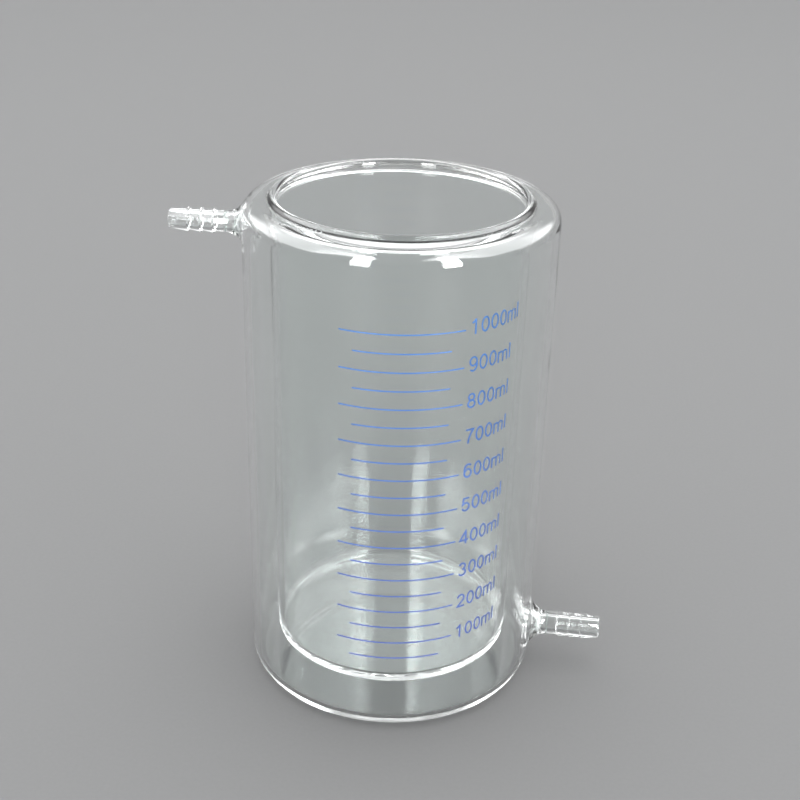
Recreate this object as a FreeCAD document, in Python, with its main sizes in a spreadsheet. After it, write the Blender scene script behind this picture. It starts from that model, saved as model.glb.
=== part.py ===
"""Jacketed glass beaker: an inner graduated vessel sealed inside a water jacket with two hose nipples.

Millimetres, +Z up. The origin is the centre of the underside. The lower nipple points along +X,
the upper one along -X, and the scale is read from the -Y side.
"""
import FreeCAD, Part
import math
import os
import Sketcher

# Driving dimensions, one spreadsheet cell each.
SIZES = {
    # jacket
    "jacket_radius": 60.0,
    "jacket_wall": 3.0,
    "shoulder_radius": 6.7,
    "shoulder_height": 202.0,
    "base_corner_radius": 6.7,
    "base_thickness": 3.3,
    "base_seam_inset": 1.0,
    # inner vessel
    "water_gap": 7.9,
    "vessel_wall": 2.5,
    "floor_clearance": 11.0,
    "floor_thickness": 3.5,
    "floor_outer_corner": 4.5,
    "floor_inner_corner": 2.5,
    "floor_skirt": 6.0,
    # ring seal that joins the vessel's mouth to the shoulder
    "rim_rise": 1.4,
    "rim_skirt": 6.0,
    "rim_crest_width": 2.8,
    "rim_lip_radius": 1.9,
    "rim_root_radius": 1.4,
    "rim_seam_reach": 1.5,
    "seam_margin": 0.3,
    # hose nipples and the collars drawn out of the jacket wall for them
    "upper_nipple_drop": 13.9,
    "lower_nipple_rise": 13.9,
    "upper_ridge_radius": 4.75,
    "lower_ridge_radius": 5.4,
    "nipple_bore_radius": 2.75,
    "collar_length": 7.2,
    "collar_flare_radius": 8.0,
    "flare_margin": 1.0,
    "bore_flare_radius": 6.0,
    "neck_length": 4.6,
    "ridge_count": 3,
    "ridge_spacing": 5.0,
    "ridge_depth": 0.7,
    "ridge_step": 0.5,
    "nose_length": 8.0,
    "nose_taper": 1.0,
    "nose_edge_radius": 0.7,
    # printed scale
    "mark_volume": 50.0,
    "mark_headroom": 30.0,
    "scale_rise": 2.95,
    "mark_width": 0.5,
    "mark_thickness": 0.12,
    "mark_clearance": 0.08,
    "long_mark_length": 46.0,
    "short_mark_length": 35.6,
    "scale_azimuth": 8.9,
}

# Places that follow from the driving dimensions.
PLACES = {
    "jacket_inside_radius": "sizes.jacket_radius - sizes.jacket_wall",
    "vessel_radius": "places.jacket_inside_radius - sizes.water_gap",
    "vessel_inside_radius": "places.vessel_radius - sizes.vessel_wall",
    "base_seam_radius": "sizes.jacket_radius - sizes.base_corner_radius - sizes.base_seam_inset",
    "base_inside_corner": "max(sizes.base_corner_radius - sizes.jacket_wall; sizes.jacket_wall / 2)",
    "shoulder_inside_height": "sizes.shoulder_height - sizes.jacket_wall",
    "rim_seam_radius": "places.vessel_radius + sizes.rim_seam_reach",
    "shoulder_room": "sizes.jacket_radius - places.rim_seam_radius - sizes.seam_margin",
    "shoulder_round": "min(sizes.shoulder_radius; places.shoulder_room)",
    "shoulder_inside_round": "max(places.shoulder_round - sizes.jacket_wall; sizes.jacket_wall / 2)",
    "rim_root_round": "min(sizes.rim_root_radius; sizes.rim_seam_reach * 0.95)",
    "floor_underside": "sizes.base_thickness + sizes.floor_clearance",
    "floor_top": "places.floor_underside + sizes.floor_thickness",
    "floor_seam_height": "places.floor_top + sizes.floor_skirt",
    "rim_top": "sizes.shoulder_height + sizes.rim_rise",
    "rim_seam_height": "sizes.shoulder_height - sizes.rim_skirt",
    "rim_crest_outer": "places.vessel_inside_radius + sizes.rim_crest_width",
    "upper_nipple_height": "sizes.shoulder_height - sizes.upper_nipple_drop",
    "lower_nipple_height": "sizes.base_thickness + sizes.lower_nipple_rise",
    "collar_end": "sizes.jacket_radius + sizes.collar_length",
    "first_ridge": "places.collar_end + sizes.neck_length",
    "last_ridge": "places.first_ridge + (sizes.ridge_count - 1) * sizes.ridge_spacing",
    "nose_end": "places.last_ridge + sizes.nose_length",
    "upper_neck_radius": "sizes.upper_ridge_radius - sizes.ridge_depth",
    "lower_neck_radius": "sizes.lower_ridge_radius - sizes.ridge_depth",
    "upper_flare_room": "sizes.upper_nipple_drop - places.upper_neck_radius - sizes.flare_margin",
    "lower_flare_room": "places.lower_nipple_height - places.lower_neck_radius - sizes.flare_margin",
    "upper_flare_round": "min(sizes.collar_flare_radius; places.upper_flare_room)",
    "lower_flare_round": "min(sizes.collar_flare_radius; places.lower_flare_room)",
    "vessel_floor_area": "pi * places.vessel_inside_radius ^ 2",
    "mark_spacing": "1000 * sizes.mark_volume / places.vessel_floor_area",
    "corner_loss": "(1 - pi / 4) * sizes.floor_inner_corner ^ 2 * 2 * pi * places.vessel_inside_radius",
    "scale_zero": "places.floor_top + places.corner_loss / places.vessel_floor_area + sizes.scale_rise",
    "scale_room": "places.rim_top - sizes.mark_headroom - places.scale_zero",
    "mark_count": "floor(places.scale_room / places.mark_spacing)",
    "mark_inside_radius": "places.vessel_radius + sizes.mark_clearance",
    "mark_outside_radius": "places.mark_inside_radius + sizes.mark_thickness",
}

# How near two lengths are when they are taken as the same.
NEAR = 0.01
# Direction, about Z, of the side that the scale is read from.
SCALE_SIDE = -90


def add_sizes(doc):
    """Puts the driving dimensions in a sheet and the places that follow from them in a variable set."""
    sheet = doc.addObject("Spreadsheet::Sheet", "sizes")
    for row, (alias, value) in enumerate(SIZES.items(), start=1):
        sheet.set(f"A{row}", str(value))
        sheet.setAlias(f"A{row}", alias)
    doc.recompute()
    places = doc.addObject("App::VarSet", "places")
    for name, formula in PLACES.items():
        places.addProperty("App::PropertyFloat", name, "Places")
        places.setExpression(name, formula)
        doc.recompute()
    return sheet, places


def add_body(doc, label):
    body = doc.addObject("PartDesign::Body", label)
    body.Label = label
    body.AllowCompound = True
    return body


def add_sketch(body, role, name):
    """A sketch on one of the body's own origin planes."""
    plane = next(item for item in body.Origin.OriginFeatures if item.Role == role)
    sketch = body.newObject("Sketcher::SketchObject", name)
    sketch.AttachmentSupport = [(plane, "")]
    sketch.MapMode = "FlatFace"
    body.Document.recompute()
    return sketch


def fix_corner(sketch, line, axis, formula):
    """Dimensions one coordinate of a line's first point from the sketch origin."""
    kind, datum = ("DistanceX", -2) if axis == 0 else ("DistanceY", -1)
    if formula == "0":
        sketch.addConstraint(Sketcher.Constraint("PointOnObject", line, 1, datum))
        return
    number = sketch.addConstraint(Sketcher.Constraint(kind, -1, 1, line, 1, sketch.evalExpression(formula)))
    name = f"corner_{line}_{'xy'[axis]}"
    sketch.renameConstraint(number, name)
    sketch.setExpression(f"Constraints.{name}", formula)


def draw_outline(sketch, corners):
    """Draws a closed outline of straight lines through corners given as pairs of expressions."""
    points = []
    for along, up in corners:
        points.append(FreeCAD.Vector(sketch.evalExpression(along), sketch.evalExpression(up), 0))
    count = len(corners)
    for line in range(count):
        sketch.addGeometry(Part.LineSegment(points[line], points[(line + 1) % count]), False)
    for line in range(count):
        sketch.addConstraint(Sketcher.Constraint("Coincident", line, 2, (line + 1) % count, 1))
    for line, corner in enumerate(corners):
        for axis, level in ((0, "Vertical"), (1, "Horizontal")):
            if line and corner[axis] == corners[line - 1][axis]:
                sketch.addConstraint(Sketcher.Constraint(level, line - 1))
            else:
                fix_corner(sketch, line, axis, corner[axis])
    sketch.Document.recompute()


def draw_circle(sketch, up, radius):
    """Draws a circle on the sketch's vertical axis, at a height and a radius given as expressions."""
    centre = FreeCAD.Vector(0, sketch.evalExpression(up), 0)
    normal = FreeCAD.Vector(0, 0, 1)
    sketch.addGeometry(Part.Circle(centre, normal, sketch.evalExpression(radius)), False)
    sketch.addConstraint(Sketcher.Constraint("PointOnObject", 0, 3, -2))
    values = (("height", Sketcher.Constraint("DistanceY", -1, 1, 0, 3, centre.y), up),
              ("radius", Sketcher.Constraint("Radius", 0, sketch.evalExpression(radius)), radius))
    for name, constraint, formula in values:
        sketch.renameConstraint(sketch.addConstraint(constraint), name)
        sketch.setExpression(f"Constraints.{name}", formula)
    sketch.Document.recompute()


def turn(body, kind, name, corners, axis="V_Axis", angle=None):
    """Revolves an outline of the XZ plane: a Revolution adds glass, a Groove takes it away."""
    sketch = add_sketch(body, "XZ_Plane", f"{name}_outline")
    draw_outline(sketch, corners)
    feature = body.newObject(f"PartDesign::{kind}", name)
    feature.Profile = sketch
    feature.ReferenceAxis = (sketch, [axis])
    if angle:
        feature.Midplane = True
        feature.setExpression("Angle", angle)
    else:
        feature.Angle = 360
    body.Document.recompute()
    return feature


def extrude(body, kind, name, up, radius, length, reverse):
    """Pads or pockets a circle of the YZ plane along X."""
    sketch = add_sketch(body, "YZ_Plane", f"{name}_outline")
    draw_circle(sketch, up, radius)
    feature = body.newObject(f"PartDesign::{kind}", name)
    feature.Profile = sketch
    feature.setExpression("Length", length)
    feature.Reversed = reverse
    body.Document.recompute()
    return feature


def fillet(body, name, base, edges, radius):
    """Rounds the named edges of a feature."""
    if not edges:
        raise RuntimeError(f"{name} found no edge to round")
    feature = body.newObject("PartDesign::Fillet", name)
    feature.Base = (base, edges)
    feature.setExpression("Radius", radius)
    body.Document.recompute()
    return feature


def ring_edges(feature, radius, height):
    """The full circles about Z with a given radius and height."""
    found = []
    for number, edge in enumerate(feature.Shape.Edges, start=1):
        curve = edge.Curve
        if not isinstance(curve, Part.Circle) or abs(curve.Axis.z) < 0.999:
            continue
        if math.hypot(curve.Radius - radius, curve.Center.z - height) < NEAR:
            found.append(f"Edge{number}")
    return found


def branch_edges(feature, height, radius, side, wall_radius):
    """The edges where a round branch along X, at a height and on a side, meets the wall about Z."""
    found = []
    for number, edge in enumerate(feature.Shape.Edges, start=1):
        points = edge.discretize(9)
        on_branch = all(abs(math.hypot(p.y, p.z - height) - radius) < NEAR for p in points)
        on_wall = all(abs(math.hypot(p.x, p.y) - wall_radius) < NEAR for p in points)
        if on_branch and on_wall and points[0].x * side > 0:
            found.append(f"Edge{number}")
    return found


def tip_edges(feature, place, bore_radius):
    """The full circles about X at a place along it, other than the bore's."""
    found = []
    for number, edge in enumerate(feature.Shape.Edges, start=1):
        curve = edge.Curve
        if not isinstance(curve, Part.Circle) or abs(curve.Axis.x) < 0.999:
            continue
        if abs(curve.Center.x - place) < NEAR and curve.Radius > bore_radius + NEAR:
            found.append(f"Edge{number}")
    return found


def make_jacket_shell(doc, sheet, places):
    """Outer tube, its shoulder and base corner rolled in, with a collar drawn out for each nipple."""
    body = add_body(doc, "jacket_shell")
    blank = turn(body, "Revolution", "jacket_blank", [
        ("0", "0"),
        ("sizes.jacket_radius", "0"),
        ("sizes.jacket_radius", "sizes.shoulder_height"),
        ("0", "sizes.shoulder_height"),
    ])
    foot = ring_edges(blank, sheet.jacket_radius, 0)
    tip = fillet(body, "base_corner", blank, foot, "sizes.base_corner_radius")
    crest = ring_edges(tip, sheet.jacket_radius, sheet.shoulder_height)
    tip = fillet(body, "shoulder", tip, crest, "places.shoulder_round")

    branches = (
        ("upper", -1, "places.upper_nipple_height", "places.upper_neck_radius"),
        ("lower", 1, "places.lower_nipple_height", "places.lower_neck_radius"),
    )
    for name, side, height, radius in branches:
        tip = extrude(body, "Pad", f"{name}_collar", height, radius, "places.collar_end", side < 0)
        edges = branch_edges(tip, tip.evalExpression(height), tip.evalExpression(radius), side,
                             sheet.jacket_radius)
        tip = fillet(body, f"{name}_flare", tip, edges, f"places.{name}_flare_round")

    tip = turn(body, "Groove", "jacket_space", [
        ("0", "0"),
        ("places.base_seam_radius", "0"),
        ("places.base_seam_radius", "sizes.base_thickness"),
        ("places.jacket_inside_radius", "sizes.base_thickness"),
        ("places.jacket_inside_radius", "places.shoulder_inside_height"),
        ("places.rim_seam_radius", "places.shoulder_inside_height"),
        ("places.rim_seam_radius", "sizes.shoulder_height"),
        ("0", "sizes.shoulder_height"),
    ])
    inside = places.jacket_inside_radius
    low = ring_edges(tip, inside, sheet.base_thickness)
    tip = fillet(body, "base_corner_inside", tip, low, "places.base_inside_corner")
    high = ring_edges(tip, inside, places.shoulder_inside_height)
    tip = fillet(body, "shoulder_inside", tip, high, "places.shoulder_inside_round")

    for name, side, height, radius in branches:
        tip = extrude(body, "Pocket", f"{name}_bore", height, "sizes.nipple_bore_radius",
                      "places.collar_end", side > 0)
        edges = branch_edges(tip, tip.evalExpression(height), sheet.nipple_bore_radius, side, inside)
        tip = fillet(body, f"{name}_bore_flare", tip, edges, "sizes.bore_flare_radius")
    return body


def make_jacket_base(doc):
    """Flat bottom of the jacket, sealed into the rolled corner."""
    body = add_body(doc, "jacket_base")
    turn(body, "Revolution", "base_disc", [
        ("0", "0"),
        ("places.base_seam_radius", "0"),
        ("places.base_seam_radius", "sizes.base_thickness"),
        ("0", "sizes.base_thickness"),
    ])
    return body


def make_vessel_tube(doc):
    """Straight wall of the inner vessel."""
    body = add_body(doc, "vessel_tube")
    turn(body, "Revolution", "tube_wall", [
        ("places.vessel_inside_radius", "places.floor_seam_height"),
        ("places.vessel_radius", "places.floor_seam_height"),
        ("places.vessel_radius", "places.rim_seam_height"),
        ("places.vessel_inside_radius", "places.rim_seam_height"),
    ])
    return body


def make_vessel_floor(doc, places):
    """Thick floor of the inner vessel, with its rounded corner and a short skirt."""
    body = add_body(doc, "vessel_floor")
    cup = turn(body, "Revolution", "floor_cup", [
        ("0", "places.floor_underside"),
        ("places.vessel_radius", "places.floor_underside"),
        ("places.vessel_radius", "places.floor_seam_height"),
        ("places.vessel_inside_radius", "places.floor_seam_height"),
        ("places.vessel_inside_radius", "places.floor_top"),
        ("0", "places.floor_top"),
    ])
    outside = ring_edges(cup, places.vessel_radius, places.floor_underside)
    tip = fillet(body, "floor_outer_round", cup, outside, "sizes.floor_outer_corner")
    inside = ring_edges(tip, places.vessel_inside_radius, places.floor_top)
    fillet(body, "floor_inner_round", tip, inside, "sizes.floor_inner_corner")
    return body


def make_rim_ring(doc, places):
    """Ring seal at the mouth: the vessel's lip, bent outwards to meet the jacket's shoulder."""
    body = add_body(doc, "rim_ring")
    elbow = turn(body, "Revolution", "rim_elbow", [
        ("places.vessel_inside_radius", "places.rim_seam_height"),
        ("places.vessel_radius", "places.rim_seam_height"),
        ("places.vessel_radius", "places.shoulder_inside_height"),
        ("places.rim_seam_radius", "places.shoulder_inside_height"),
        ("places.rim_seam_radius", "sizes.shoulder_height"),
        ("places.rim_crest_outer", "places.rim_top"),
        ("places.vessel_inside_radius", "places.rim_top"),
    ])
    root = ring_edges(elbow, places.vessel_radius, places.shoulder_inside_height)
    tip = fillet(body, "rim_root", elbow, root, "places.rim_root_round")
    lip = ring_edges(tip, places.vessel_inside_radius, places.rim_top)
    fillet(body, "rim_lip", tip, lip, "sizes.rim_lip_radius")
    return body


def make_nipple(doc, sheet, places, name, side):
    """Serrated hose nipple, sealed on the end of its collar. Each ridge faces the jacket."""
    body = add_body(doc, f"{name}_hose_nipple")
    neck = f"places.{name}_neck_radius"
    ridge = f"sizes.{name}_ridge_radius"
    corners = [
        ("places.collar_end", "sizes.nipple_bore_radius"),
        ("places.collar_end", neck),
    ]
    for number in range(int(sheet.ridge_count)):
        place = f"places.first_ridge + {number} * sizes.ridge_spacing"
        corners.append((place, neck))
        corners.append((f"{place} + sizes.ridge_step", ridge))
    corners.append(("places.nose_end", f"{ridge} - sizes.nose_taper"))
    corners.append(("places.nose_end", "sizes.nipple_bore_radius"))
    stem = turn(body, "Revolution", "stem", corners, axis="H_Axis")

    nose = tip_edges(stem, places.nose_end, sheet.nipple_bore_radius)
    fillet(body, "nose_round", stem, nose, "sizes.nose_edge_radius")
    body.setExpression("Placement.Base.z", f"places.{name}_nipple_height")
    if side < 0:
        body.Placement.Rotation = FreeCAD.Rotation(FreeCAD.Vector(0, 0, 1), 180)
    return body


def make_marks(doc, name, first, step):
    """Enamel lines of one length on the vessel's outside, one pattern up the scale."""
    body = add_body(doc, f"{name}_scale_marks")
    middle = f"places.scale_zero + {first} * places.mark_spacing"
    low = f"{middle} - sizes.mark_width / 2"
    high = f"{middle} + sizes.mark_width / 2"
    angle = f"sizes.{name}_mark_length / places.vessel_radius * 180 / pi"
    mark = turn(body, "Revolution", "mark", [
        ("places.mark_inside_radius", low),
        ("places.mark_outside_radius", low),
        ("places.mark_outside_radius", high),
        ("places.mark_inside_radius", high),
    ], angle=angle)
    rows = body.newObject("PartDesign::LinearPattern", "marks")
    rows.Originals = [mark]
    upright = next(item for item in body.Origin.OriginFeatures if item.Role == "Z_Axis")
    rows.Direction = (upright, [""])
    rows.Mode = "Spacing"
    rows.setExpression("Offset", f"{step} * places.mark_spacing")
    rows.setExpression("Occurrences", f"floor((places.mark_count - {first}) / {step}) + 1")
    body.Tip = rows
    body.Placement.Rotation = FreeCAD.Rotation(FreeCAD.Vector(0, 0, 1), SCALE_SIDE)
    body.setExpression("Placement.Rotation.Angle", f"sizes.scale_azimuth + {SCALE_SIDE}")
    doc.recompute()
    return body


def check_document(doc):
    """Stops if any object failed or any body has no sound shape."""
    for item in doc.Objects:
        if "Invalid" in item.State or "Error" in item.State:
            raise RuntimeError(f"{item.Name} failed: {item.State}")
    for body in doc.findObjects("PartDesign::Body"):
        if body.Shape.isNull() or not body.Shape.isValid():
            raise RuntimeError(f"{body.Label} has no sound shape")


def main():
    doc = FreeCAD.newDocument("jacketed_beaker")
    sheet, places = add_sizes(doc)
    bodies = [
        make_jacket_shell(doc, sheet, places),
        make_jacket_base(doc),
        make_vessel_tube(doc),
        make_vessel_floor(doc, places),
        make_rim_ring(doc, places),
        make_nipple(doc, sheet, places, "upper", -1),
        make_nipple(doc, sheet, places, "lower", 1),
        make_marks(doc, "long", 2, 2),
        make_marks(doc, "short", 1, 2),
    ]
    doc.recompute()
    check_document(doc)
    os.makedirs("parts", exist_ok=True)
    for body in bodies:
        body.Shape.exportStep(f"parts/{body.Label}.step")
        box = body.Shape.BoundBox
        corners = (box.XMin, box.YMin, box.ZMin, box.XMax, box.YMax, box.ZMax)
        print(body.Label, len(body.Shape.Solids), round(body.Shape.Volume, 1), [round(v, 2) for v in corners])


main()
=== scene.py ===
"""Looks of the jacketed beaker: clear fused glass, printed blue scale, pale studio floor.

Lengths are written in millimetres and turned into metres when a mesh is made.
The lower nipple points along +X, the upper one along -X, and the scale is read from the -Y side.
"""
import math

import bmesh
import bpy
from mathutils import Matrix, Vector


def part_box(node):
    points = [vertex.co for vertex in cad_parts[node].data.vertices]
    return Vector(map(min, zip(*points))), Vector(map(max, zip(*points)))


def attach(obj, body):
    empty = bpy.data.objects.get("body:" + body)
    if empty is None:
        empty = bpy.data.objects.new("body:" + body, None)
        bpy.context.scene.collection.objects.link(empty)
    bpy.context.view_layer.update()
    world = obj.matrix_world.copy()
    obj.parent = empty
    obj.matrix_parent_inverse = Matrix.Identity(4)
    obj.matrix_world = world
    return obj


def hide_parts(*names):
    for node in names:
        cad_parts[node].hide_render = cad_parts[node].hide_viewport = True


MM = 0.001

# Glass skins of the jacket, in the plane of radius and height.
JACKET_RADIUS = 60.0
JACKET_CORNER = 6.7
JACKET_INSIDE = 57.0
JACKET_INSIDE_CORNER = 3.7
SHOULDER_TOP = 202.0
SHOULDER_UNDERSIDE = 199.0
BASE_TOP = 3.3
BASE_SEAM = 52.3
RIM_SEAM = 50.6

# Inner vessel.
VESSEL_RADIUS = 49.1
VESSEL_INSIDE = 46.6
FLOOR_UNDERSIDE = 14.3
FLOOR_TOP = 17.8
FLOOR_OUTER_CORNER = 4.5
FLOOR_INNER_CORNER = 2.5
FLOOR_SEAM = 23.8
TUBE_TOP = 196.0
RIM_TOP = 203.4
LIP_RADIUS = 1.9
ROOT_RADIUS = 1.4

# Hose nipples and the collars they stand on.
COLLAR_END = 67.2
COLLAR_FLARE = 8.0
BORE_RADIUS = 2.75
BORE_FLARE = 6.0
NIPPLE_TIP = 89.8
RIDGE_STARTS = (71.8, 76.8, 81.8)
RIDGE_DEPTH = 0.7
RIDGE_STEP = 0.5
NOSE_TAPER = 1.0
RIDGE_ROUND = 0.35
NOSE_ROUND = 0.8
NIPPLES = (
    # name, side along X, height of its axis, radius of its ridges
    ("upper_hose_nipple", -1, 188.1, 4.75),
    ("lower_hose_nipple", 1, 17.2, 5.4),
)

# Divisions of the meshes. A collar grows out of a window in the wall's grid.
AROUND = 256
ARC_STEPS = 12
ROOT_STEPS = 8
LIP_STEPS = 10
LETTER_STEPS = 14
WALL_ROWS = 12
WINDOW_COLUMNS = 22
WINDOW_ROWS = 20
WINDOW_ARC_ROWS = 5
SHOULDER_ARC_ROWS = 8
PATCH_RINGS = 4
FLARE_STEPS = 12
COLLAR_SIDES = 2 * (WINDOW_COLUMNS + WINDOW_ROWS)

# How far a window reaches along the straight wall from its nipple's axis, its first corner's angle, and the
# angles of a collar's sides.
WINDOW_REACH = 15.4
FIRST_CORNER = math.radians(-135)
EVEN_ANGLES = [FIRST_CORNER + 2 * math.pi * number / COLLAR_SIDES for number in range(COLLAR_SIDES)]

# Material slots of the glass pieces.
GLASS_SLOT = 0
SEAM_SLOT = 1

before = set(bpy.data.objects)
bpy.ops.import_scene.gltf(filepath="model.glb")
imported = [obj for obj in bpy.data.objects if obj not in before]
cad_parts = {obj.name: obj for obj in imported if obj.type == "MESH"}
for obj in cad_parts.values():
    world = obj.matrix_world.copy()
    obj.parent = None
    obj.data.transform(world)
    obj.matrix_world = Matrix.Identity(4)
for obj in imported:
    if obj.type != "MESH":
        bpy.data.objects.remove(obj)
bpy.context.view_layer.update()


# Outlines.
def oval(centre, wide, tall, start, stop, steps=LETTER_STEPS):
    """Points of part of an oval about a centre, from one angle in degrees to another."""
    points = []
    for step in range(steps + 1):
        angle = math.radians(start + (stop - start) * step / steps)
        points.append((centre[0] + wide * math.cos(angle), centre[1] + tall * math.sin(angle)))
    return points


def arc(centre, radius, start, stop, steps=ARC_STEPS):
    """Points of a round arc."""
    return oval(centre, radius, radius, start, stop, steps)


def soften(corners, steps=5, most=0.48):
    """A polyline with each corner (x, y, radius) rounded. A curve takes the share most of a side, or less."""
    points = []
    for number, (x, y, radius) in enumerate(corners):
        if not radius or number in (0, len(corners) - 1):
            points.append((x, y))
            continue
        here = Vector((x, y))
        before = Vector(corners[number - 1][:2]) - here
        after = Vector(corners[number + 1][:2]) - here
        half = before.angle(after) / 2
        reach = min(radius / math.tan(half), before.length * most, after.length * most)
        first = here + before.normalized() * reach
        last = here + after.normalized() * reach
        for step in range(steps + 1):
            share = step / steps
            point = first.lerp(here, share).lerp(here.lerp(last, share), share)
            points.append((point.x, point.y))
    return points


# Meshes.
def make_object(name, bm, materials):
    """Turns a bmesh in millimetres into an object of the shared frame that rides on the one body."""
    bmesh.ops.recalc_face_normals(bm, faces=bm.faces)
    mesh = bpy.data.meshes.new(name)
    bm.to_mesh(mesh)
    bm.free()
    mesh.transform(Matrix.Scale(MM, 4))
    for material in materials:
        mesh.materials.append(material)
    piece = bpy.data.objects.new(name, mesh)
    bpy.context.scene.collection.objects.link(piece)
    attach(piece, "root")
    return piece


def add_rings(bm, outline):
    """One ring of vertices about Z for each outline point, or a single vertex on the axis."""
    rings = []
    for radius, height in outline:
        if radius < 1e-6:
            rings.append([bm.verts.new((0, 0, height))])
            continue
        ring = []
        for number in range(AROUND):
            angle = 2 * math.pi * number / AROUND
            ring.append(bm.verts.new((radius * math.cos(angle), radius * math.sin(angle), height)))
        rings.append(ring)
    return rings


def join_rings(bm, first, second, slot=GLASS_SLOT, skip=()):
    """Faces between two rings. A ring of one vertex gives a fan."""
    count = max(len(first), len(second))
    for number in range(count):
        if number in skip:
            continue
        following = (number + 1) % count
        if len(first) == 1:
            corners = (first[0], second[number], second[following])
        elif len(second) == 1:
            corners = (first[following], first[number], second[0])
        else:
            corners = (first[number], first[following], second[following], second[number])
        face = bm.faces.new(corners)
        face.smooth = True
        face.material_index = slot


def mark_sharp(bm, angle=40):
    """Marks the edges round fused seams and the hard corners, so that the glass beside them shades evenly."""
    limit = math.radians(angle)
    for edge in bm.edges:
        slots = {face.material_index for face in edge.link_faces}
        bent = len(edge.link_faces) == 2 and edge.calc_face_angle(0) > limit
        if len(slots) > 1 or bent:
            edge.smooth = False


def spin(name, outline, seams, materials):
    """A closed piece turned about Z. The outline's runs named in seams are fused faces inside the glass."""
    bm = bmesh.new()
    rings = add_rings(bm, outline)
    for number, ring in enumerate(rings):
        following = rings[(number + 1) % len(rings)]
        if len(ring) == 1 and len(following) == 1:
            continue
        join_rings(bm, ring, following, SEAM_SLOT if number in seams else GLASS_SLOT)
    mark_sharp(bm)
    return make_object(name, bm, materials)


# Materials.
def new_material(name):
    """An empty material, its nodes and its links."""
    material = bpy.data.materials.new(name)
    material.use_nodes = True
    nodes = material.node_tree.nodes
    nodes.clear()
    return material, nodes, material.node_tree.links


def make_glass():
    """Clear borosilicate glass with the slight waviness of drawn and flameworked tube."""
    material, nodes, links = new_material("clear_glass")
    output = nodes.new("ShaderNodeOutputMaterial")
    body = nodes.new("ShaderNodeBsdfPrincipled")
    body.inputs["Base Color"].default_value = (0.975, 0.99, 0.985, 1)
    body.inputs["Transmission Weight"].default_value = 1
    body.inputs["IOR"].default_value = 1.47
    body.inputs["Roughness"].default_value = 0

    place = nodes.new("ShaderNodeTexCoord")
    stretch = nodes.new("ShaderNodeMapping")
    stretch.inputs["Scale"].default_value = (1, 1, 0.35)
    waves = nodes.new("ShaderNodeTexNoise")
    waves.inputs["Scale"].default_value = 38
    waves.inputs["Detail"].default_value = 2.5
    waves.inputs["Roughness"].default_value = 0.4
    bump = nodes.new("ShaderNodeBump")
    bump.inputs["Strength"].default_value = 0.5
    bump.inputs["Distance"].default_value = 0.0004
    links.new(place.outputs["Object"], stretch.inputs["Vector"])
    links.new(stretch.outputs["Vector"], waves.inputs["Vector"])
    links.new(waves.outputs["Fac"], bump.inputs["Height"])
    links.new(bump.outputs["Normal"], body.inputs["Normal"])

    # Lamps reach through the glass, less so where they graze it.
    facing = nodes.new("ShaderNodeLayerWeight")
    facing.inputs["Blend"].default_value = 0.5
    steep = nodes.new("ShaderNodeMath")
    steep.operation = "POWER"
    steep.inputs[1].default_value = 4
    shade = nodes.new("ShaderNodeMix")
    shade.data_type = "RGBA"
    shade.inputs["A"].default_value = (0.965, 0.972, 0.97, 1)
    shade.inputs["B"].default_value = (0.40, 0.41, 0.41, 1)
    clear = nodes.new("ShaderNodeBsdfTransparent")
    links.new(facing.outputs["Facing"], steep.inputs[0])
    links.new(steep.outputs[0], shade.inputs["Factor"])
    links.new(shade.outputs["Result"], clear.inputs["Color"])

    path = nodes.new("ShaderNodeLightPath")
    mix = nodes.new("ShaderNodeMixShader")
    links.new(path.outputs["Is Shadow Ray"], mix.inputs[0])
    links.new(body.outputs[0], mix.inputs[1])
    links.new(clear.outputs[0], mix.inputs[2])
    links.new(mix.outputs[0], output.inputs["Surface"])
    return material


def make_seam():
    """Fused faces inside the glass bend nothing."""
    material, nodes, links = new_material("fused_seam")
    output = nodes.new("ShaderNodeOutputMaterial")
    clear = nodes.new("ShaderNodeBsdfTransparent")
    links.new(clear.outputs[0], output.inputs["Surface"])
    return material


# The heights, in metres, between which painted shade on the enamel changes: darker and deeper blue towards
# the bottom of the scale, paler at the top.
PAINTED_SHADE_LOW = 0.02
PAINTED_SHADE_HIGH = 0.17


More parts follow.
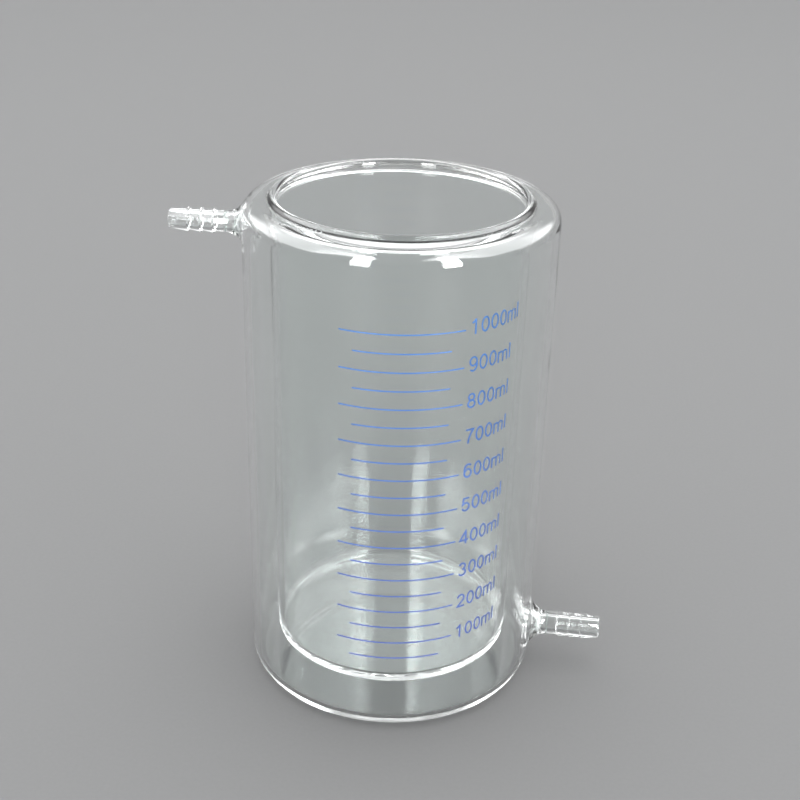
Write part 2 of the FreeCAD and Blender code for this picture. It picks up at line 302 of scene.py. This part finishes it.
def make_enamel():
    """Fired blue enamel with uneven cover, and painted shade: darker and deeper blue low on the scale, paler
    at the top.
    """
    material, nodes, links = new_material("blue_enamel")
    output = nodes.new("ShaderNodeOutputMaterial")
    body = nodes.new("ShaderNodeBsdfPrincipled")
    body.inputs["Roughness"].default_value = 0.35
    place = nodes.new("ShaderNodeTexCoord")
    parts = nodes.new("ShaderNodeSeparateXYZ")
    # Painted shade: the enamel's colour is mixed by height, darker and deeper blue low on the scale and paler
    # near the top.
    level = nodes.new("ShaderNodeMapRange")
    level.inputs["From Min"].default_value = PAINTED_SHADE_LOW
    level.inputs["From Max"].default_value = PAINTED_SHADE_HIGH
    painted_shade_tint = nodes.new("ShaderNodeMix")
    painted_shade_tint.data_type = "RGBA"
    painted_shade_tint.inputs["A"].default_value = (0.12, 0.19, 0.82, 1)
    painted_shade_tint.inputs["B"].default_value = (0.08, 0.31, 0.90, 1)
    cover = nodes.new("ShaderNodeTexNoise")
    cover.inputs["Scale"].default_value = 900
    cover.inputs["Detail"].default_value = 3
    thin = nodes.new("ShaderNodeMapRange")
    thin.inputs["From Min"].default_value = 0.35
    thin.inputs["From Max"].default_value = 0.75
    thin.inputs["To Min"].default_value = 0
    thin.inputs["To Max"].default_value = 0.35
    mottled = nodes.new("ShaderNodeMix")
    mottled.data_type = "RGBA"
    mottled.inputs["B"].default_value = (0.22, 0.44, 0.92, 1)
    bump = nodes.new("ShaderNodeBump")
    bump.inputs["Strength"].default_value = 0.3
    bump.inputs["Distance"].default_value = 0.00003
    links.new(place.outputs["Object"], parts.inputs[0])
    links.new(place.outputs["Object"], cover.inputs["Vector"])
    links.new(parts.outputs["Z"], level.inputs["Value"])
    links.new(level.outputs["Result"], painted_shade_tint.inputs["Factor"])
    links.new(painted_shade_tint.outputs["Result"], mottled.inputs["A"])
    links.new(cover.outputs["Fac"], thin.inputs["Value"])
    links.new(thin.outputs["Result"], mottled.inputs["Factor"])
    links.new(mottled.outputs["Result"], body.inputs["Base Color"])
    links.new(cover.outputs["Fac"], bump.inputs["Height"])
    links.new(bump.outputs["Normal"], body.inputs["Normal"])
    links.new(body.outputs[0], output.inputs["Surface"])
    return material


def make_floor_material():
    """Pale grey studio paper."""
    material, nodes, links = new_material("studio_paper")
    output = nodes.new("ShaderNodeOutputMaterial")
    body = nodes.new("ShaderNodeBsdfPrincipled")
    body.inputs["Roughness"].default_value = 0.9
    body.inputs["Specular IOR Level"].default_value = 0.2
    place = nodes.new("ShaderNodeTexCoord")
    grain = nodes.new("ShaderNodeTexNoise")
    grain.inputs["Scale"].default_value = 600
    grain.inputs["Detail"].default_value = 4
    tone = nodes.new("ShaderNodeMix")
    tone.data_type = "RGBA"
    tone.inputs["A"].default_value = (0.40, 0.402, 0.405, 1)
    tone.inputs["B"].default_value = (0.43, 0.432, 0.436, 1)
    links.new(place.outputs["Object"], grain.inputs["Vector"])
    links.new(grain.outputs["Fac"], tone.inputs["Factor"])
    links.new(tone.outputs["Result"], body.inputs["Base Color"])
    links.new(body.outputs[0], output.inputs["Surface"])
    return material


# Jacket shell with its two collars.
def wall_radius(height, radius, corner, low, high):
    """Radius of a jacket skin at a height, round corners included. low and high are the corners' centres."""
    beyond = max(low - height, height - high, 0)
    if beyond == 0:
        return radius
    return radius - corner + math.sqrt(max(corner ** 2 - beyond ** 2, 0))


def shell_rows():
    """Outline of the jacket shell, and the rows where each collar's window starts."""
    rows = [(BASE_SEAM, 0.0)]
    marks = {}
    heights = {side: height for _, side, height, _ in NIPPLES}

    def straight(radius, start, stop, count):
        for number in range(1, count + 1):
            rows.append((radius, start + (stop - start) * number / count))

    # Outer skin, from the base up to the rim.
    centre = JACKET_RADIUS - JACKET_CORNER
    low = JACKET_CORNER
    high = SHOULDER_TOP - JACKET_CORNER
    rows += arc((centre, low), JACKET_CORNER, -90, 0)
    marks["outer", 1] = len(rows) - 1 - WINDOW_ARC_ROWS
    straight(JACKET_RADIUS, low, heights[1] + WINDOW_REACH, WINDOW_ROWS - WINDOW_ARC_ROWS)
    straight(JACKET_RADIUS, heights[1] + WINDOW_REACH, heights[-1] - WINDOW_REACH, WALL_ROWS)
    marks["outer", -1] = len(rows) - 1
    straight(JACKET_RADIUS, heights[-1] - WINDOW_REACH, high, WINDOW_ROWS - SHOULDER_ARC_ROWS)
    rows += arc((centre, high), JACKET_CORNER, 0, 90)[1:]
    rows.append((RIM_SEAM, SHOULDER_TOP))
    marks["rim"] = len(rows) - 1

    # Inner skin, from the rim back down.
    low = BASE_TOP + JACKET_INSIDE_CORNER
    high = SHOULDER_UNDERSIDE - JACKET_INSIDE_CORNER
    centre = JACKET_INSIDE - JACKET_INSIDE_CORNER
    rows.append((RIM_SEAM, SHOULDER_UNDERSIDE))
    rows += arc((centre, high), JACKET_INSIDE_CORNER, 90, 0)
    marks["inner", -1] = len(rows) - 1 - WINDOW_ARC_ROWS
    straight(JACKET_INSIDE, high, heights[-1] - WINDOW_REACH, WINDOW_ROWS - WINDOW_ARC_ROWS)
    straight(JACKET_INSIDE, heights[-1] - WINDOW_REACH, heights[1] + WINDOW_REACH, WALL_ROWS)
    marks["inner", 1] = len(rows) - 1
    straight(JACKET_INSIDE, heights[1] + WINDOW_REACH, low, WINDOW_ROWS - WINDOW_ARC_ROWS)
    rows += arc((centre, low), JACKET_INSIDE_CORNER, 0, -90)[1:]
    rows.append((BASE_SEAM, BASE_TOP))
    marks["base"] = len(rows) - 1
    return rows, marks


def window_columns(side):
    """Columns of the wall's vertices across a window, from left to right as seen from outside."""
    middle = 0 if side > 0 else AROUND // 2
    left = middle - WINDOW_COLUMNS // 2
    return [(left + number) % AROUND for number in range(WINDOW_COLUMNS + 1)]


def window_loop(rings, start, side, upward):
    """The vertices round a window, from its lower left corner as seen from outside, going right first."""
    rows = list(range(start, start + WINDOW_ROWS + 1))
    if not upward:
        rows.reverse()
    columns = window_columns(side)
    loop = [rings[rows[0]][column] for column in columns]
    loop += [rings[row][columns[-1]] for row in rows[1:]]
    loop += [rings[rows[-1]][column] for column in reversed(columns[:-1])]
    loop += [rings[row][columns[0]] for row in reversed(rows[1:-1])]
    return loop


def add_nipple_ring(bm, side, height, out, radius):
    """An even ring of vertices about a nipple's axis, at a distance out along it."""
    ring = []
    for angle in EVEN_ANGLES:
        across, up = radius * math.cos(angle), radius * math.sin(angle)
        ring.append(bm.verts.new((side * out, side * across, height + up)))
    return ring


def add_collar(bm, loop, side, height, neck, flare, skin):
    """Rings from a window's edge to a round neck, flared into the wall, and on to the collar's end."""
    rim = []
    for vertex in loop:
        across, up = side * vertex.co.y, vertex.co.z - height
        rim.append((math.hypot(across, up), math.atan2(up, across)))

    steps = []
    for ring in range(1, PATCH_RINGS + 1):
        steps.append((ring / PATCH_RINGS, 0.0))
    for step in range(1, FLARE_STEPS + 1):
        steps.append((1.0, math.pi / 2 * step / FLARE_STEPS))

    rings = [loop]
    for number, (share, bend) in enumerate(steps, start=1):
        straighten = number / len(steps)
        ring = []
        for (reach, angle), even_angle in zip(rim, EVEN_ANGLES):
            turn = (even_angle - angle + math.pi) % (2 * math.pi) - math.pi
            direction = angle + turn * straighten
            radius = reach + (neck + flare - reach) * share
            if bend:
                radius = neck + flare * (1 - math.sin(bend))
            across, up = radius * math.cos(direction), radius * math.sin(direction)
            out = math.sqrt(skin(height + up) ** 2 - across ** 2) + flare * (1 - math.cos(bend))
            ring.append(bm.verts.new((side * out, side * across, height + up)))
        rings.append(ring)
    rings.append(add_nipple_ring(bm, side, height, COLLAR_END, neck))
    for first, second in zip(rings, rings[1:]):
        join_rings(bm, first, second)
    return rings[-1]


def make_jacket_shell(materials):
    """The turned shell, with a collar drawn out of its wall for each nipple."""
    outline, marks = shell_rows()
    bm = bmesh.new()
    rings = add_rings(bm, outline)
    windows = []
    for _, side, _, _ in NIPPLES:
        for skin in ("outer", "inner"):
            windows.append((marks[skin, side], set(window_columns(side)[:-1])))
    for number, ring in enumerate(rings):
        skip = set()
        for start, columns in windows:
            if start <= number < start + WINDOW_ROWS:
                skip |= columns
        slot = SEAM_SLOT if number in (marks["rim"], marks["base"]) else GLASS_SLOT
        join_rings(bm, ring, rings[(number + 1) % len(rings)], slot, skip)

    def outer(height):
        return wall_radius(height, JACKET_RADIUS, JACKET_CORNER, JACKET_CORNER, SHOULDER_TOP - JACKET_CORNER)

    def inner(height):
        return wall_radius(height, JACKET_INSIDE, JACKET_INSIDE_CORNER, BASE_TOP + JACKET_INSIDE_CORNER,
                           SHOULDER_UNDERSIDE - JACKET_INSIDE_CORNER)

    for _, side, height, ridge in NIPPLES:
        loop = window_loop(rings, marks["outer", side], side, True)
        outside = add_collar(bm, loop, side, height, ridge - RIDGE_DEPTH, COLLAR_FLARE, outer)
        loop = window_loop(rings, marks["inner", side], side, False)
        bore = add_collar(bm, loop, side, height, BORE_RADIUS, BORE_FLARE, inner)
        join_rings(bm, outside, bore, SEAM_SLOT)

    stray = [vertex for vertex in bm.verts if not vertex.link_faces]
    bmesh.ops.delete(bm, geom=stray, context="VERTS")
    mark_sharp(bm)
    return make_object("jacket_wall", bm, materials)


# The other glass pieces.
def make_nipple(name, side, height, ridge, materials):
    """Serrated nipple, turned about its own axis along X, with fire-polished edges."""
    neck = ridge - RIDGE_DEPTH
    corners = [(COLLAR_END, neck, 0)]
    for start in RIDGE_STARTS:
        corners.append((start, neck, RIDGE_ROUND))
        corners.append((start + RIDGE_STEP, ridge, RIDGE_ROUND))
    corners.append((NIPPLE_TIP, ridge - NOSE_TAPER, NOSE_ROUND))
    corners.append((NIPPLE_TIP, BORE_RADIUS, RIDGE_ROUND))
    corners.append((COLLAR_END, BORE_RADIUS, 0))
    bm = bmesh.new()
    rings = [add_nipple_ring(bm, side, height, out, radius) for out, radius in soften(corners)]
    for number, ring in enumerate(rings):
        slot = SEAM_SLOT if number == len(rings) - 1 else GLASS_SLOT
        join_rings(bm, ring, rings[(number + 1) % len(rings)], slot)
    mark_sharp(bm)
    return make_object(name, bm, materials)


def make_vessel(materials):
    """Base disc, straight tube, floor and the ring seal at the mouth."""
    outline = [(0, 0), (BASE_SEAM, 0), (BASE_SEAM, BASE_TOP), (0, BASE_TOP)]
    base = spin("jacket_bottom", outline, {1}, materials)

    outline = [(VESSEL_INSIDE, FLOOR_SEAM), (VESSEL_RADIUS, FLOOR_SEAM)]
    outline += [(VESSEL_RADIUS, TUBE_TOP), (VESSEL_INSIDE, TUBE_TOP)]
    tube = spin("inner_tube", outline, {0, 2}, materials)

    outline = [(0, FLOOR_UNDERSIDE)]
    outline += arc((VESSEL_RADIUS - FLOOR_OUTER_CORNER, FLOOR_UNDERSIDE + FLOOR_OUTER_CORNER),
                   FLOOR_OUTER_CORNER, -90, 0)
    outline.append((VESSEL_RADIUS, FLOOR_SEAM))
    seam = len(outline) - 1
    outline.append((VESSEL_INSIDE, FLOOR_SEAM))
    outline += arc((VESSEL_INSIDE - FLOOR_INNER_CORNER, FLOOR_TOP + FLOOR_INNER_CORNER),
                   FLOOR_INNER_CORNER, 0, -90)
    outline.append((0, FLOOR_TOP))
    floor = spin("inner_floor", outline, {seam}, materials)

    outline = [(VESSEL_INSIDE, TUBE_TOP), (VESSEL_RADIUS, TUBE_TOP)]
    outline += arc((VESSEL_RADIUS + ROOT_RADIUS, SHOULDER_UNDERSIDE - ROOT_RADIUS),
                   ROOT_RADIUS, 180, 90, ROOT_STEPS)
    outline.append((RIM_SEAM, SHOULDER_UNDERSIDE))
    seam = len(outline) - 1
    crest = VESSEL_INSIDE + LIP_RADIUS
    for number in range(LIP_STEPS):
        share = number / LIP_STEPS
        rise = share * share * (3 - 2 * share)
        outline.append((RIM_SEAM + (crest - RIM_SEAM) * share,
                        SHOULDER_TOP + (RIM_TOP - SHOULDER_TOP) * rise))
    outline += arc((crest, RIM_TOP - LIP_RADIUS), LIP_RADIUS, 90, 180)
    rim = spin("mouth_rim", outline, {0, seam}, materials)
    return base, tube, floor, rim


# Printed scale.
MARK_INSIDE = 49.18
MARK_OUTSIDE = 49.30
SCALE_AZIMUTH = math.radians(-90 + 8.9)  # the scale's middle, to the right of the front
LONG_MARK = 46.0
SHORT_MARK = 35.6
MARK_WIDTH = 0.5
MARK_COUNT = 10
MARK_PIECES = 48
LABEL_START = 24.6
DIGIT_HEIGHT = 5.95
LABEL_DROP = 2.15
PEN = 0.112  # in heights of a digit
LABEL_OUTSIDE = 49.28

# How far each character moves the pen on, in heights of a digit.
DIGIT_ADVANCE = 0.775
LETTER_ADVANCES = {"m": 1.16, "l": 0.31}

# Pen strokes of each character, in heights of a digit.
STROKES = {
    "0": [oval((0.39, 0.5), 0.26, 0.45, 90, 450, 32)],
    "1": [[(0.16, 0.74), (0.30, 0.83), (0.42, 0.98)], [(0.42, 1.0), (0.42, 0.0)]],
    "2": [oval((0.38, 0.69), 0.25, 0.26, 170, -40) + [(0.11, 0.05), (0.67, 0.05)]],
    "3": [oval((0.37, 0.725), 0.22, 0.225, 160, -80), oval((0.37, 0.275), 0.25, 0.235, 88, -165)],
    "4": [[(0.51, 0.0), (0.51, 0.97), (0.07, 0.28), (0.70, 0.28)]],
    "5": [[(0.62, 0.95), (0.21, 0.95), (0.14, 0.48)] + oval((0.37, 0.33), 0.26, 0.28, 125, -160)],
    "6": [oval((0.41, 0.62), 0.27, 0.33, 45, 180) + oval((0.39, 0.33), 0.25, 0.28, 180, 520, 28)],
    "7": [[(0.10, 0.95), (0.66, 0.95), (0.45, 0.62), (0.33, 0.32), (0.28, 0.0)]],
    "8": [oval((0.39, 0.735), 0.21, 0.215, -90, 270, 26), oval((0.39, 0.275), 0.255, 0.235, 90, 450, 28)],
    "9": [oval((0.37, 0.38), 0.27, 0.33, 225, 360) + oval((0.39, 0.67), 0.25, 0.28, 0, 340, 28)],
    "m": [[(0.13, 0.0), (0.13, 0.74)],
          oval((0.345, 0.50), 0.215, 0.195, 180, 0) + [(0.56, 0.0)],
          oval((0.775, 0.50), 0.215, 0.195, 180, 0) + [(0.99, 0.0)]],
    "l": [[(0.15, 0.0), (0.15, 1.0)]],
}


def around(arc_length, radius):
    """Point at an arc length along the scale, measured to the right of its middle on the glass."""
    angle = SCALE_AZIMUTH + arc_length / VESSEL_RADIUS
    return radius * math.cos(angle), radius * math.sin(angle)


def scale_levels(node):
    """Heights of a node's lines, from its own box."""
    low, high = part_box(node)
    first = low.z / MM + MARK_WIDTH / 2
    last = high.z / MM - MARK_WIDTH / 2
    return [first + (last - first) * number / (MARK_COUNT - 1) for number in range(MARK_COUNT)]


def close_strip(bm, sections):
    """Faces along a strip of sections with four corners each, and one at either end."""
    for first, second in zip(sections, sections[1:]):
        for side in range(4):
            following = (side + 1) % 4
            bm.faces.new((first[side], first[following], second[following], second[side]))
    bm.faces.new(sections[0])
    bm.faces.new(sections[-1])


def make_marks(name, node, length, material):
    """The ten lines of one length, each a thin solid bent round the vessel."""
    corners = ((MARK_INSIDE, -0.5), (MARK_OUTSIDE, -0.5), (MARK_OUTSIDE, 0.5), (MARK_INSIDE, 0.5))
    bm = bmesh.new()
    for level in scale_levels(node):
        sections = []
        for number in range(MARK_PIECES + 1):
            place = length * (number / MARK_PIECES - 0.5)
            section = []
            for radius, height in corners:
                x, y = around(place, radius)
                section.append(bm.verts.new((x, y, level + height * MARK_WIDTH)))
            sections.append(section)
        close_strip(bm, sections)
    piece = make_object(name, bm, [material])
    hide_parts(node)


def stroke_edges(points):
    """Both edges of a pen stroke along a line of points."""
    line = [Vector(point) for point in points]
    edges = []
    for number, point in enumerate(line):
        before = (point - line[number - 1]).normalized() if number else None
        after = (line[number + 1] - point).normalized() if number + 1 < len(line) else None
        along = ((before or after) + (after or before)).normalized()
        across = Vector((-along.y, along.x))
        spread = PEN / 2
        if before and after:
            spread /= max(before.dot(along), 0.5)
        edges.append((point + across * spread, point - across * spread))
    return edges


def split_runs(points, longest=0.16):
    """Adds points so that no run of a stroke is long, because the letters lie on a round wall."""
    result = [points[0]]
    for first, second in zip(points, points[1:]):
        count = max(1, math.ceil(math.dist(first, second) / longest))
        for number in range(1, count + 1):
            share = number / count
            result.append((first[0] + (second[0] - first[0]) * share,
                           first[1] + (second[1] - first[1]) * share))
    return result


def make_label(text, level, material):
    """A printed number: pen strokes laid on the vessel's outside, each a thin solid."""
    bm = bmesh.new()
    pen_place = 0.0
    for character in text:
        for points in STROKES[character]:
            sections = []
            for left, right in stroke_edges(split_runs(points)):
                section = []
                for corner, radius in ((left, MARK_INSIDE), (left, LABEL_OUTSIDE), (right, LABEL_OUTSIDE),
                                       (right, MARK_INSIDE)):
                    x, y = around(LABEL_START + (pen_place + corner.x) * DIGIT_HEIGHT, radius)
                    section.append(bm.verts.new((x, y, level - LABEL_DROP + corner.y * DIGIT_HEIGHT)))
                sections.append(section)
            close_strip(bm, sections)
        pen_place += LETTER_ADVANCES.get(character, DIGIT_ADVANCE)
    piece = make_object(f"number_{text}", bm, [material])


# Camera.
CAMERA_PLACE = Vector((57.186, -459.12, 343.08))
CAMERA_PITCH = math.radians(25.97)
CAMERA_YAW = math.radians(0.17)
CAMERA_ROLL = math.radians(1.56)
TURN = math.radians(7.1)  # of the camera and the tent, about Z
FOCAL_PIXELS = 1279
FRAME_PIXELS = 800
SENSOR = 36


def make_camera():
    """The camera that was fitted to the rings, the lines and the nipples."""
    ahead = Vector((math.sin(CAMERA_YAW) * math.cos(CAMERA_PITCH),
                    math.cos(CAMERA_YAW) * math.cos(CAMERA_PITCH),
                    -math.sin(CAMERA_PITCH)))
    right = Vector((math.cos(CAMERA_YAW), -math.sin(CAMERA_YAW), 0))
    up = right.cross(ahead)
    across = right * math.cos(CAMERA_ROLL) + up * math.sin(CAMERA_ROLL)
    upright = up * math.cos(CAMERA_ROLL) - right * math.sin(CAMERA_ROLL)
    turn = Matrix.Rotation(TURN, 3, "Z")
    axes = Matrix((turn @ across, turn @ upright, turn @ -ahead)).transposed()
    data = bpy.data.cameras.new("camera")
    data.sensor_width = SENSOR
    data.lens = FOCAL_PIXELS * SENSOR / FRAME_PIXELS
    data.clip_start = 0.01
    data.clip_end = 50
    camera = bpy.data.objects.new("camera", data)
    camera.matrix_world = Matrix.Translation(CAMERA_PLACE * MM) @ axes.to_4x4()
    bpy.context.scene.collection.objects.link(camera)
    bpy.context.scene.camera = camera


# Floor and lamps, in metres.
FLOOR_SIZE = 8
FLOOR_PIECES = 8
FLOOR_DROP = 0.0003
SOFTBOX_DISTANCE = 0.62
SOFTBOX_BOTTOM = 0.05
SOFTBOX_TOP = 0.8


def hang_lamp(data, place, source, hidden):
    """Puts a lamp in its place, with its light coming from source, and hides it from some kinds of ray."""
    lamp = bpy.data.objects.new(data.name, data)
    lamp.location = place
    lamp.rotation_euler = Vector(source).to_track_quat("Z", "Y").to_euler()
    lamp.visible_camera = "camera" not in hidden
    lamp.visible_diffuse = "diffuse" not in hidden
    lamp.visible_glossy = "glossy" not in hidden
    lamp.visible_transmission = "transmission" not in hidden
    bpy.context.scene.collection.objects.link(lamp)


def add_softbox(name, azimuth, width, radiance):
    """An upright soft panel that stands on one side of the camera. It shows in the glass alone."""
    tall = SOFTBOX_TOP - SOFTBOX_BOTTOM
    data = bpy.data.lights.new(name, "AREA")
    data.shape = "RECTANGLE"
    data.size = width
    data.size_y = tall
    data.energy = radiance * width * tall * math.pi
    azimuth = math.radians(azimuth)
    source = Vector((math.cos(azimuth), math.sin(azimuth), 0))
    middle = Vector((0, 0, (SOFTBOX_BOTTOM + SOFTBOX_TOP) / 2))
    hang_lamp(data, source * SOFTBOX_DISTANCE + middle, source, {"camera", "diffuse"})


def add_ceiling(place, size, radiance):
    """A large soft panel for the floor and the print alone. The tent stands for it in the glass."""
    data = bpy.data.lights.new("ceiling", "AREA")
    data.shape = "SQUARE"
    data.size = size
    data.energy = radiance * size * size * math.pi
    hang_lamp(data, place, place, {"camera", "glossy", "transmission"})


def add_front_light(azimuth, elevation, level, spread):
    """A wide and far light for the floor and the print alone. Level 1 shows a white card as white."""
    data = bpy.data.lights.new("front_light", "SUN")
    data.energy = level * math.pi
    data.angle = math.radians(spread)
    azimuth, elevation = math.radians(azimuth), math.radians(elevation)
    source = Vector((math.cos(azimuth) * math.cos(elevation), math.sin(azimuth) * math.cos(elevation),
                     math.sin(elevation)))
    hang_lamp(data, (0, 0, 0), source, {"glossy", "transmission"})


def make_stage():
    """The floor, and every lamp except the tent."""
    bm = bmesh.new()
    bmesh.ops.create_grid(bm, x_segments=FLOOR_PIECES, y_segments=FLOOR_PIECES, size=FLOOR_SIZE)
    mesh = bpy.data.meshes.new("studio_floor")
    bm.to_mesh(mesh)
    bm.free()
    mesh.materials.append(make_floor_material())
    floor = bpy.data.objects.new("studio_floor", mesh)
    floor.location.z = -FLOOR_DROP
    bpy.context.scene.collection.objects.link(floor)

    add_softbox("left_softbox", azimuth=-109, width=0.15, radiance=20)
    add_softbox("right_softbox", azimuth=-49, width=0.14, radiance=38)
    add_ceiling(place=(0, 0.3, 2.2), size=1.8, radiance=1.5)
    add_front_light(azimuth=-84, elevation=12, level=0.95, spread=34)


# Brightness of the world for the floor and the print, and of the tent's parts for the glass.
WORLD_FILL = 0.42
WALL_LEVEL = 0.5
ROOF_LEVEL = 1.5
FRONT_LEVEL = 9.5
SIDE_LEVEL = 4.8
HORIZON_LEVEL = 3.0

# Where the tent's parts fade in or out, from a ray's direction: lean is backward by upward, slope is sideways
# by upward, turn is the sideways share of its level part, and edge is its upward part.
ROOF_LEAN = (-0.35, 0.55)
ROOF_EDGE = (0.36, 0.54)
SLOT_SLOPE = (0.36, 0.50)
SILL_TURN = (0.70, 0.95)
SILL_HEIGHTS = (0.55, 0.22)
SILL_BELOW = 0.07
SILL_ABOVE = 0.05
FRONT_TURN = (0.80, 0.98)
SIDE_TURN = (0.5, 0.8)
SIDE_EDGE = (0.08, 0.2)
HORIZON_TURN = (0.10, 0.24)
HORIZON_EDGE = (0.08, 0.16)


def make_world():
    """Even fill for the floor and the print, and a studio tent for all that the glass mirrors or bends."""
    world = bpy.data.worlds.new("studio")
    bpy.context.scene.world = world
    world.use_nodes = True
    nodes, links = world.node_tree.nodes, world.node_tree.links
    background = nodes["Background"]

    def math_node(operation, first, second=None):
        node = nodes.new("ShaderNodeMath")
        node.operation = operation
        for socket, value in zip(node.inputs, (first, second)):
            if isinstance(value, (int, float)):
                socket.default_value = value
            elif value is not None:
                links.new(value, socket)
        return node.outputs[0]

    def ramp(value, start, stop, low, high):
        node = nodes.new("ShaderNodeMapRange")
        node.interpolation_type = "SMOOTHSTEP"
        links.new(value, node.inputs["Value"])
        for name, setting in (("From Min", start), ("From Max", stop), ("To Min", low), ("To Max", high)):
            if isinstance(setting, (int, float)):
                node.inputs[name].default_value = setting
            else:
                links.new(setting, node.inputs[name])
        return node.outputs["Result"]

    place = nodes.new("ShaderNodeTexCoord")
    turn = nodes.new("ShaderNodeMapping")
    turn.inputs["Rotation"].default_value = (0, 0, -TURN)
    parts = nodes.new("ShaderNodeSeparateXYZ")
    links.new(place.outputs["Generated"], turn.inputs["Vector"])
    links.new(turn.outputs["Vector"], parts.inputs[0])
    across, away, up = parts.outputs
    level = math_node("SQRT", math_node("ADD", math_node("POWER", across, 2), math_node("POWER", away, 2)))
    sideways = math_node("DIVIDE", math_node("ABSOLUTE", across), math_node("MAXIMUM", level, 0.001))
    rise = math_node("MAXIMUM", up, 0.05)
    slope = math_node("DIVIDE", math_node("ABSOLUTE", across), rise)
    lean = math_node("DIVIDE", away, rise)
    ahead = math_node("LESS_THAN", away, 0)
    behind = math_node("SUBTRACT", 1, ahead)

    def product(*factors):
        result = factors[0]
        for factor in factors[1:]:
            result = math_node("MULTIPLY", result, factor)
        return result

    # The roof fades towards the camera, which looks in through a slot. White panels stand on both sides of
    # the slot, above a sill that is lower at the sides, and a low band lies behind the beaker.
    roof = product(ramp(lean, *ROOF_LEAN, 0, 1), ramp(up, *ROOF_EDGE, 0, ROOF_LEVEL))
    beside = ramp(slope, *SLOT_SLOPE, 0, 1)
    sill = ramp(sideways, *SILL_TURN, *SILL_HEIGHTS)
    above_sill = ramp(up, math_node("SUBTRACT", sill, SILL_BELOW), math_node("ADD", sill, SILL_ABOVE), 0, 1)
    front = product(ahead, beside, above_sill, ramp(sideways, *FRONT_TURN, FRONT_LEVEL, SIDE_LEVEL))
    side = product(behind, beside, ramp(sideways, *SIDE_TURN, 0, 1), ramp(up, *SIDE_EDGE, 0, SIDE_LEVEL))
    horizon = product(behind, ramp(up, *HORIZON_EDGE, HORIZON_LEVEL, 0), ramp(sideways, *HORIZON_TURN, 1, 0))
    seen = WALL_LEVEL
    for part in (roof, front, side, horizon):
        seen = math_node("MAXIMUM", part, seen)

    path = nodes.new("ShaderNodeLightPath")
    bent = math_node("MAXIMUM", path.outputs["Is Glossy Ray"], path.outputs["Is Transmission Ray"])
    strength = nodes.new("ShaderNodeMix")
    strength.inputs["A"].default_value = WORLD_FILL
    links.new(bent, strength.inputs["Factor"])
    links.new(seen, strength.inputs["B"])
    links.new(strength.outputs["Result"], background.inputs["Strength"])
    background.inputs["Color"].default_value = (0.99, 0.995, 1.0, 1)


def set_light_paths():
    """Enough bounces for light that runs along inside the walls. Lamps shine through without caustics."""
    cycles = bpy.context.scene.cycles
    cycles.max_bounces = 96
    cycles.transmission_bounces = 96
    cycles.glossy_bounces = 48
    cycles.transparent_max_bounces = 48
    cycles.caustics_reflective = False
    cycles.caustics_refractive = False


# The scene.
glass = make_glass()
seam = make_seam()
glass_pieces = [(make_jacket_shell([glass, seam]), "jacket_shell")]
vessel_nodes = ("jacket_base", "vessel_tube", "vessel_floor", "rim_ring")
glass_pieces += zip(make_vessel([glass, seam]), vessel_nodes)
for name, side, height, ridge in NIPPLES:
    short = name.replace("_hose_nipple", "_nipple")
    glass_pieces.append((make_nipple(short, side, height, ridge, [glass, seam]), name))
for piece, node in glass_pieces:
    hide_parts(node)

enamel = make_enamel()
make_marks("long_lines", "long_scale_marks", LONG_MARK, enamel)
make_marks("short_lines", "short_scale_marks", SHORT_MARK, enamel)
for number, level in enumerate(scale_levels("long_scale_marks"), start=1):
    make_label(f"{number * 100}ml", level, enamel)

make_camera()
make_stage()
make_world()
set_light_paths()
bpy.context.scene.view_settings.view_transform = "Standard"
